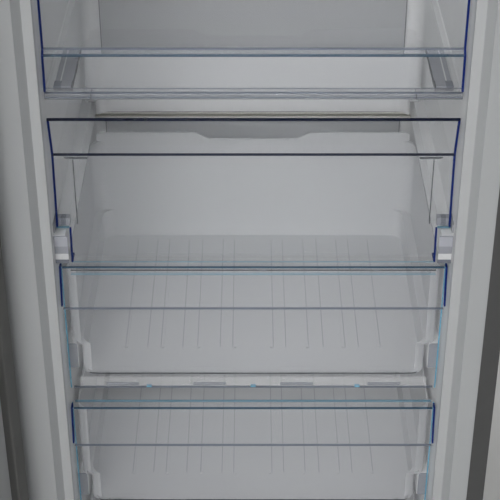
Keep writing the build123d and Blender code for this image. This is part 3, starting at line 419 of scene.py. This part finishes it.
# ---- flaps
# Each flap has a folded band across it, with a pale line along its top and a dark one at its foot.
for number, level in enumerate(LEVELS, 1):
    bm = copy_of(f"flap_{number}")
    ease(bm, FINE_EASE)
    zone(bm, 4, height=(level + 47.6, level + 53.6))
    zone(bm, 2, height=(level + 53.0, level + 54.3))
    zone(bm, 3, height=(level + 47.0, level + 48.5))
    zone(bm, 1, (HALF - EDGE, FAR), height=(level, level + FLAP_TOP))
    stand_in(f"flap_{number}", bm, clear_face, navy, slate, deep_teal, haze)

# ---- shelves
# Each glass shelf has a moulded trim along its front and a strip under each side, and the one over
# the drawers has a trim along its rear.
for node in ("drawer_shelf_glass", "flap_shelf_glass"):
    bm = copy_of(node)
    ease(bm, 0.0006)
    stand_in(node, bm, glass_face)

bm = copy_of("shelf_front_trims")
for level in LEVELS:
    zone(bm, 1, depth=(50.9, 53.0), height=(level + 2.6, level + 5))
    zone(bm, 1, depth=(39.0, 42.2), height=(level + 2.6, level + 5))
    zone(bm, 1, height=(level - 2.0, level - 0.9))
    zone(bm, 1, height=(level - 6.0, level - 3.7))
    zone(bm, 2, (177.2, 178.6), height=(level - 3.7, level + 2.6))
stand_in("shelf_front_trims", bm, mist, slate, graphite)

strip_grey = clear("strip_grey", linear(150, 153, 160), 0.9, 0.3)
block_grey = clear("block_grey", linear(108, 112, 122), 0.95, 0.3)
# The pale line along each strip is a painted highlight.
bm = copy_of("shelf_side_strips")
ease(bm, FINE_EASE)
zone(bm, 2, (213.2, 214.6))
zone(bm, 3, (0, 200.4))
zone(bm, 1, (211.7, FAR), (0, 66.3))
stand_in("shelf_side_strips", bm, strip_grey, block_grey, painted_highlight_line, graphite)

bm = copy_of("rear_shelf_trim")
ease(bm, 0.0005)
zone(bm, 1, height=(694.6, FAR))
stand_in("rear_shelf_trim", bm, smooth_plastic("pale_trim", linear(226, 224, 216), 0.4),
         smooth_plastic("trim_shadow", linear(128, 126, 122), 0.5))

# ---- first drawer
# The tall front is folded twice, with dark lips, and narrows at its foot to clear the rails. The notches hold
# grey clips, and the ends of the rails show in them as flat plates painted in bands of light and shade that
# stand in for their rounded shape.
NOTCH_TOP = 740                # under it the tall front is narrow
SHOULDER_FRONT = 61.4          # depth at which the tubs' rails begin
LOW_FLOORS = (517.0, 305.0, 142.0)

bm = copy_of("drawer_1_front")
ease(bm, FINE_EASE)
zone(bm, 2, (HALF - EDGE, FAR), height=(NOTCH_TOP, FAR))
zone(bm, 2, (211.6, 213.9), height=(0, NOTCH_TOP))
zone(bm, 3, (213.6, FAR), height=(739.5, 741.6))
zone(bm, 1, (0, 228.0), height=(832.1, 833.9))
zone(bm, 1, height=(882.9, FAR))
zone(bm, 3, (0, 212), (0, 43.2), (0, 696.4))
stand_in("drawer_1_front", bm, clear_face, ink, navy, teal)

bm = copy_of("drawer_1_tub")
zone(bm, 2, depth=(370, 400), height=(718, 803))
zone(bm, 1, (189.0, FAR), (0, SHOULDER_FRONT), (824.4, FAR))
zone(bm, 1, (205.2, 206.2), (0, SHOULDER_FRONT), (718, 823))
stand_in("drawer_1_tub", bm, tub_clear, graphite, frosted)


def cuboid(bm, x, y, z, index=0):
    """Add a box between limits in millimetres."""
    made = bmesh.ops.create_cube(bm, size=1.0)
    for vert in made["verts"]:
        vert.co = Vector([low + (high - low) * (c + 0.5) for c, (low, high) in zip(vert.co, (x, y, z))]) * MM
    for face in {face for vert in made["verts"] for face in vert.link_faces}:
        face.material_index = index


bm = bmesh.new()
for side in (-1, 1):
    for index, limits in ((0, (212.8, 217.6)), (1, (217.6, 223.4)), (0, (223.4, 228.0))):
        cuboid(bm, sorted(LINER_X + side * limit for limit in limits), (49.8, 58.6), (741.6, 751.5), index)
clips = put("drawer_1_corner_clips", bm, "drawer_1", strip_grey, block_grey)

RAIL_LOW = 5.8                 # a rail's end over the floor of its drawer
RAIL_HIGH = 42.2
# Thin flat plates before the rails' ends are painted in bands for the light and shade on a rounded end:
# painted shadow at the foot, a painted highlight above it, a mid shade and a lighter top. Behind the lower
# drawers' fronts, one plate on each rail is painted a darker grey as painted shade on the rail's front.
bm = bmesh.new()
for side in (-1, 1):
    for index, low, high in ((1, 700.8, 706.0), (0, 706.0, 714.0), (2, 714.0, 724.0), (3, 724.0, 737.2)):
        cuboid(bm, sorted((LINER_X + side * 214.9, LINER_X + side * 230.6)), (31.4, 33.9), (low, high), index)
    for floor_z in LOW_FLOORS[:2]:
        cuboid(bm, sorted((LINER_X + side * 218.2, LINER_X + side * 230.2)), (64.6, 65.9),
               (floor_z + RAIL_LOW, floor_z + RAIL_HIGH), 2)
rail_end_shading = put("rail_end_painted_shading", bm, "cabinet", painted_highlight_line, block_grey, strip_grey,
           smooth_plastic("rail_end_painted_top_light", linear(168, 170, 178), 0.4))

# ---- low drawers
# Their visors stand out over their fronts. The second drawer's lip lies nearest the eye and shows two more
# lines, and faint darker lines of painted shade mark the ribs that run to the rear on every floor.
LOW_TOPS = (690.0, 478.0, 266.0)
LOW_BOTTOMS = (498.0, 286.0, 130.0)
RIBS = (26, 42, 71, 90, 118, 135, 163)
RIB_HALF = 0.7

for number, (top, bottom, floor_z) in enumerate(zip(LOW_TOPS, LOW_BOTTOMS, LOW_FLOORS), 2):
    bm = copy_of(f"drawer_{number}_front")
    ease(bm, FINE_EASE)
    zone(bm, 1, (HALF - EDGE, FAR), (0, 50), (top - 51, top))
    zone(bm, 2, (HALF - 1.4, FAR), (50, 100), (bottom, top - 3))
    zone(bm, 5, (0, HALF - EDGE), (0, 45), (top - 56, top - 53.8))
    zone(bm, 4, (0, 225), (0, 41.6), (top - 1.9, top + 1))
    if number == 2:
        zone(bm, 6, (0, 215), (0, 41.6), (top - 5.0, top - 3.2))
        zone(bm, 3, (0, 215), (0, 41.6), (top - 10.2, top - 9.2))
    else:
        zone(bm, 3, (0, 225), (54.9, 57), (top - 3.1, top + 1))
    # A pale veil on the front's foot, under its tub, is painted light, as if light gathered in the plastic
    # there.
    zone(bm, 7, (0, 217), (54, 100), (bottom + 3, floor_z - 2))
    zone(bm, 5, (0, 225), (50, 100), (bottom - 1, bottom + 1.3))
    for inner, outer in ((34.2, 75.2), (143.5, 184.5)):
        zone(bm, 5, (inner, outer), (56.9, 100), (bottom + 2, bottom + 6))
    for inner, outer in ((0, 3.2), (127.4, 133.6)):
        zone(bm, 2, (inner, outer), (54, 100), (bottom + 1.3, bottom + 3.6))
    stand_in(f"drawer_{number}_front", bm, clear_face, navy, sky, teal, deep_teal, slate, graphite, painted_glow_veil)

    bm = copy_of(f"drawer_{number}_tub")
    zone(bm, 1, (0, FAR), (0, 63))
    # A dark line along each tub's front foot, where the floor bends up, is the edge of the bend and painted
    # shade in that corner.
    zone(bm, 2, (0, 208), (0, SHOULDER_FRONT), (0, floor_z + 1.8))
    # Faint darker lines on each floor are painted shade for its ribs, which have no shape of their own here.
    for rib in RIBS:
        zone(bm, 3, (rib - RIB_HALF, rib + RIB_HALF), (112, 370), (floor_z - 3, floor_z + 4))
    stand_in(f"drawer_{number}_tub", bm, frosted, tub_clear, graphite, rib_painted_shade)

# ---- clips
# Small grey blocks on the rails stop the drawers.
wrap("drawer_stop_clips", grained_plastic("grey_plastic", linear(150, 152, 156)))

# ------------------------------------------------------------------ door
# The door is a folded steel tray with moulded caps, filled with foam behind a white liner. A
# soft magnetic seal runs round it, and a brushed bar on two short posts is its handle.
wrap("door_skin", coat)
# The door's liner lies wholly in front of the depth where the liner's painted shade ends, so it is painted
# that grey all over.
wrap("door_liner", liner_white_painted_mouth)
seal, tree, bsdf = shader("seal_rubber", linear(88, 88, 86), 0.6)
tint(tree, noise(tree, 30.0), linear(82, 82, 80), linear(94, 94, 92), bsdf.inputs["Base Color"])
relief(tree, bsdf, noise(tree, 500.0), 0.0001, 0.3)
wrap("door_gasket", seal)
brushed = drawn_metal("brushed_bar", linear(190, 191, 193), (1, 1, 0.02), 0.28)
wrap("door_handle", brushed)
wrap("handle_mounts", brushed)
board, tree, bsdf = shader("circuit_board", linear(24, 92, 56), 0.4)
tint(tree, noise(tree, 200.0), linear(20, 84, 50), linear(34, 104, 66), bsdf.inputs["Base Color"])
wrap("control_board", board)
